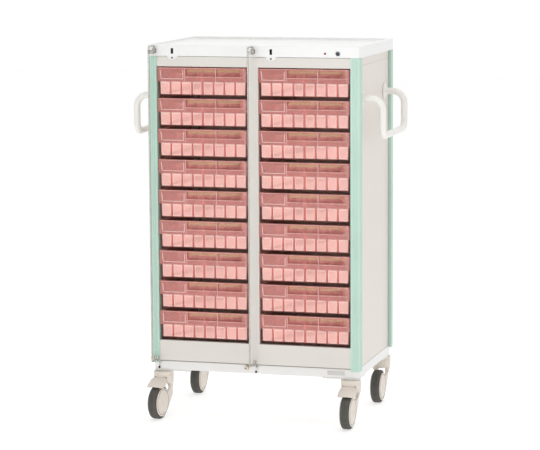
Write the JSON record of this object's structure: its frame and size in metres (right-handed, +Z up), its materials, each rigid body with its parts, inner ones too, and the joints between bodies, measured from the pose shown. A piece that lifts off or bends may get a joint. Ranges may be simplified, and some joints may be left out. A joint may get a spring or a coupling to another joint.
{
  "type": "unit-dose medication cart",
  "caption": "Hospital medication trolley with clear pull-out drawers of cups in two columns, swing-out lock bars, side handles and swivel casters.",
  "frame": {"origin": "on the floor, at the centre of the whole cart's bounding box", "axes": "+Z up along the cart's height, front with the drawers towards -Y, +X to the right seen from the front"},
  "size_m": [0.7656, 0.5058, 1.11],
  "materials": {
    "white_enamel": "semi-gloss white enamel",
    "pale_green_plastic": "satin pale green moulded profile",
    "warm_white_enamel": "semi-gloss warm white enamel",
    "steel": "fine brushed steel",
    "chrome": "polished",
    "clear_pink_acrylic": "clear pink moulded plastic",
    "pink_plastic": "satin pale pink moulded plastic",
    "grey_nylon": "satin moulded nylon",
    "tyre_rubber": "matt rubber"
  },
  "bodies": {
    "cabinet": {"top_tray": "white_enamel", "base_tray": "white_enamel", "corner_posts": "pale_green_plastic", "side_panels": "warm_white_enamel", "back_panel": "warm_white_enamel", "centre_wall": "warm_white_enamel", "front_frame": "warm_white_enamel", "drawer_runners": "warm_white_enamel", "side_handles": "warm_white_enamel", "bar_fittings": "steel"},
    "lock_bar_left": {"lock_bar_left": "steel"},
    "lock_bar_right": {"lock_bar_right": "steel"},
    "key": {"key_cylinder": "chrome"},
    "lock_slide": {"lock_slide": "steel"},
    "drawer_left_1": {"drawer_left_1": "clear_pink_acrylic", "cups_left_1": "pink_plastic"},
    "drawer_left_2": {"drawer_left_2": "clear_pink_acrylic", "cups_left_2": "pink_plastic"},
    "drawer_left_3": {"drawer_left_3": "clear_pink_acrylic", "cups_left_3": "pink_plastic"},
    "drawer_left_4": {"drawer_left_4": "clear_pink_acrylic", "cups_left_4": "pink_plastic"},
    "drawer_left_5": {"drawer_left_5": "clear_pink_acrylic", "cups_left_5": "pink_plastic"},
    "drawer_left_6": {"drawer_left_6": "clear_pink_acrylic", "cups_left_6": "pink_plastic"},
    "drawer_left_7": {"drawer_left_7": "clear_pink_acrylic", "cups_left_7": "pink_plastic"},
    "drawer_left_8": {"drawer_left_8": "clear_pink_acrylic", "cups_left_8": "pink_plastic"},
    "drawer_left_9": {"drawer_left_9": "clear_pink_acrylic", "cups_left_9": "pink_plastic"},
    "drawer_right_1": {"drawer_right_1": "clear_pink_acrylic", "cups_right_1": "pink_plastic"},
    "drawer_right_2": {"drawer_right_2": "clear_pink_acrylic", "cups_right_2": "pink_plastic"},
    "drawer_right_3": {"drawer_right_3": "clear_pink_acrylic", "cups_right_3": "pink_plastic"},
    "drawer_right_4": {"drawer_right_4": "clear_pink_acrylic", "cups_right_4": "pink_plastic"},
    "drawer_right_5": {"drawer_right_5": "clear_pink_acrylic", "cups_right_5": "pink_plastic"},
    "drawer_right_6": {"drawer_right_6": "clear_pink_acrylic", "cups_right_6": "pink_plastic"},
    "drawer_right_7": {"drawer_right_7": "clear_pink_acrylic", "cups_right_7": "pink_plastic"},
    "drawer_right_8": {"drawer_right_8": "clear_pink_acrylic", "cups_right_8": "pink_plastic"},
    "drawer_right_9": {"drawer_right_9": "clear_pink_acrylic", "cups_right_9": "pink_plastic"},
    "caster_front_left": {"caster_fork_front_left": "grey_nylon"},
    "wheel_front_left": {"wheel_front_left": "tyre_rubber"},
    "brake_pedal_front_left": {"brake_pedal_front_left": "grey_nylon"},
    "caster_front_right": {"caster_fork_front_right": "grey_nylon"},
    "wheel_front_right": {"wheel_front_right": "tyre_rubber"},
    "brake_pedal_front_right": {"brake_pedal_front_right": "grey_nylon"},
    "caster_rear_left": {"caster_fork_rear_left": "grey_nylon"},
    "wheel_rear_left": {"wheel_rear_left": "tyre_rubber"},
    "caster_rear_right": {"caster_fork_rear_right": "grey_nylon"},
    "wheel_rear_right": {"wheel_rear_right": "tyre_rubber"}
  },
  "joints": [
    {"name": "lock_bar_left_swing", "type": "hinge", "parent": "cabinet", "child": "lock_bar_left", "pos_m": [-0.296, -0.19311, 0.6], "axis": [0, 0, -1], "range_deg": [-90, 70]},
    {"name": "lock_bar_right_swing", "type": "hinge", "parent": "cabinet", "child": "lock_bar_right", "pos_m": [0.003, -0.19311, 0.6], "axis": [0, 0, -1], "range_deg": [-90, 12]},
    {"name": "key_turn", "type": "hinge", "parent": "cabinet", "child": "key", "pos_m": [0.255, -0.18461, 1.088], "axis": [0, 1, 0], "range_deg": [0, 90]},
    {"name": "lock_slide_travel", "type": "slide", "parent": "cabinet", "child": "lock_slide", "axis": [-1, 0, 0], "range_m": [0, 0.0045]},
    {"name": "drawer_left_1_slide", "type": "slide", "parent": "cabinet", "child": "drawer_left_1", "axis": [0, -1, 0], "range_m": [0, 0.33]},
    {"name": "drawer_left_2_slide", "type": "slide", "parent": "cabinet", "child": "drawer_left_2", "axis": [0, -1, 0], "range_m": [0, 0.33]},
    {"name": "drawer_left_3_slide", "type": "slide", "parent": "cabinet", "child": "drawer_left_3", "axis": [0, -1, 0], "range_m": [0, 0.33]},
    {"name": "drawer_left_4_slide", "type": "slide", "parent": "cabinet", "child": "drawer_left_4", "axis": [0, -1, 0], "range_m": [0, 0.33]},
    {"name": "drawer_left_5_slide", "type": "slide", "parent": "cabinet", "child": "drawer_left_5", "axis": [0, -1, 0], "range_m": [0, 0.33]},
    {"name": "drawer_left_6_slide", "type": "slide", "parent": "cabinet", "child": "drawer_left_6", "axis": [0, -1, 0], "range_m": [0, 0.33]},
    {"name": "drawer_left_7_slide", "type": "slide", "parent": "cabinet", "child": "drawer_left_7", "axis": [0, -1, 0], "range_m": [0, 0.33]},
    {"name": "drawer_left_8_slide", "type": "slide", "parent": "cabinet", "child": "drawer_left_8", "axis": [0, -1, 0], "range_m": [0, 0.33]},
    {"name": "drawer_left_9_slide", "type": "slide", "parent": "cabinet", "child": "drawer_left_9", "axis": [0, -1, 0], "range_m": [0, 0.33]},
    {"name": "drawer_right_1_slide", "type": "slide", "parent": "cabinet", "child": "drawer_right_1", "axis": [0, -1, 0], "range_m": [0, 0.33]},
    {"name": "drawer_right_2_slide", "type": "slide", "parent": "cabinet", "child": "drawer_right_2", "axis": [0, -1, 0], "range_m": [0, 0.33]},
    {"name": "drawer_right_3_slide", "type": "slide", "parent": "cabinet", "child": "drawer_right_3", "axis": [0, -1, 0], "range_m": [0, 0.33]},
    {"name": "drawer_right_4_slide", "type": "slide", "parent": "cabinet", "child": "drawer_right_4", "axis": [0, -1, 0], "range_m": [0, 0.33]},
    {"name": "drawer_right_5_slide", "type": "slide", "parent": "cabinet", "child": "drawer_right_5", "axis": [0, -1, 0], "range_m": [0, 0.33]},
    {"name": "drawer_right_6_slide", "type": "slide", "parent": "cabinet", "child": "drawer_right_6", "axis": [0, -1, 0], "range_m": [0, 0.33]},
    {"name": "drawer_right_7_slide", "type": "slide", "parent": "cabinet", "child": "drawer_right_7", "axis": [0, -1, 0], "range_m": [0, 0.33]},
    {"name": "drawer_right_8_slide", "type": "slide", "parent": "cabinet", "child": "drawer_right_8", "axis": [0, -1, 0], "range_m": [0, 0.33]},
    {"name": "drawer_right_9_slide", "type": "slide", "parent": "cabinet", "child": "drawer_right_9", "axis": [0, -1, 0], "range_m": [0, 0.33]},
    {"name": "caster_front_left_swivel", "type": "hinge", "parent": "cabinet", "child": "caster_front_left", "pos_m": [-0.287, -0.16261, 0.13], "axis": [0, 0, 1], "continuous": true},
    {"name": "wheel_front_left_roll", "type": "hinge", "parent": "caster_front_left", "child": "wheel_front_left", "pos_m": [-0.29187, -0.20231, 0.05], "axis": [0.9925, -0.1219, 0], "continuous": true},
    {"name": "brake_pedal_front_left_press", "type": "hinge", "parent": "caster_front_left", "child": "brake_pedal_front_left", "pos_m": [-0.28858, -0.17551, 0.113], "axis": [0.9925, -0.1219, 0], "range_deg": [0, 6]},
    {"name": "caster_front_right_swivel", "type": "hinge", "parent": "cabinet", "child": "caster_front_right", "pos_m": [0.287, -0.16261, 0.13], "axis": [0, 0, 1], "continuous": true},
    {"name": "wheel_front_right_roll", "type": "hinge", "parent": "caster_front_right", "child": "wheel_front_right", "pos_m": [0.287, -0.20261, 0.05], "axis": [1, 0, 0], "continuous": true},
    {"name": "brake_pedal_front_right_press", "type": "hinge", "parent": "caster_front_right", "child": "brake_pedal_front_right", "pos_m": [0.287, -0.17561, 0.113], "axis": [1, 0, 0], "range_deg": [0, 6]},
    {"name": "caster_rear_left_swivel", "type": "hinge", "parent": "cabinet", "child": "caster_rear_left", "pos_m": [-0.287, 0.22339, 0.13], "axis": [0, 0, 1], "continuous": true},
    {"name": "wheel_rear_left_roll", "type": "hinge", "parent": "caster_rear_left", "child": "wheel_rear_left", "pos_m": [-0.287, 0.18339, 0.05], "axis": [1, 0, 0], "continuous": true},
    {"name": "caster_rear_right_swivel", "type": "hinge", "parent": "cabinet", "child": "caster_rear_right", "pos_m": [0.287, 0.22339, 0.13], "axis": [0, 0, 1], "continuous": true},
    {"name": "wheel_rear_right_roll", "type": "hinge", "parent": "caster_rear_right", "child": "wheel_rear_right", "pos_m": [0.287, 0.18339, 0.05], "axis": [1, 0, 0], "continuous": true}
  ],
  "couplings": [
    {"joint": "key_turn", "follows": "lock_slide_travel", "rad_per_m": 349.06}
  ]
}
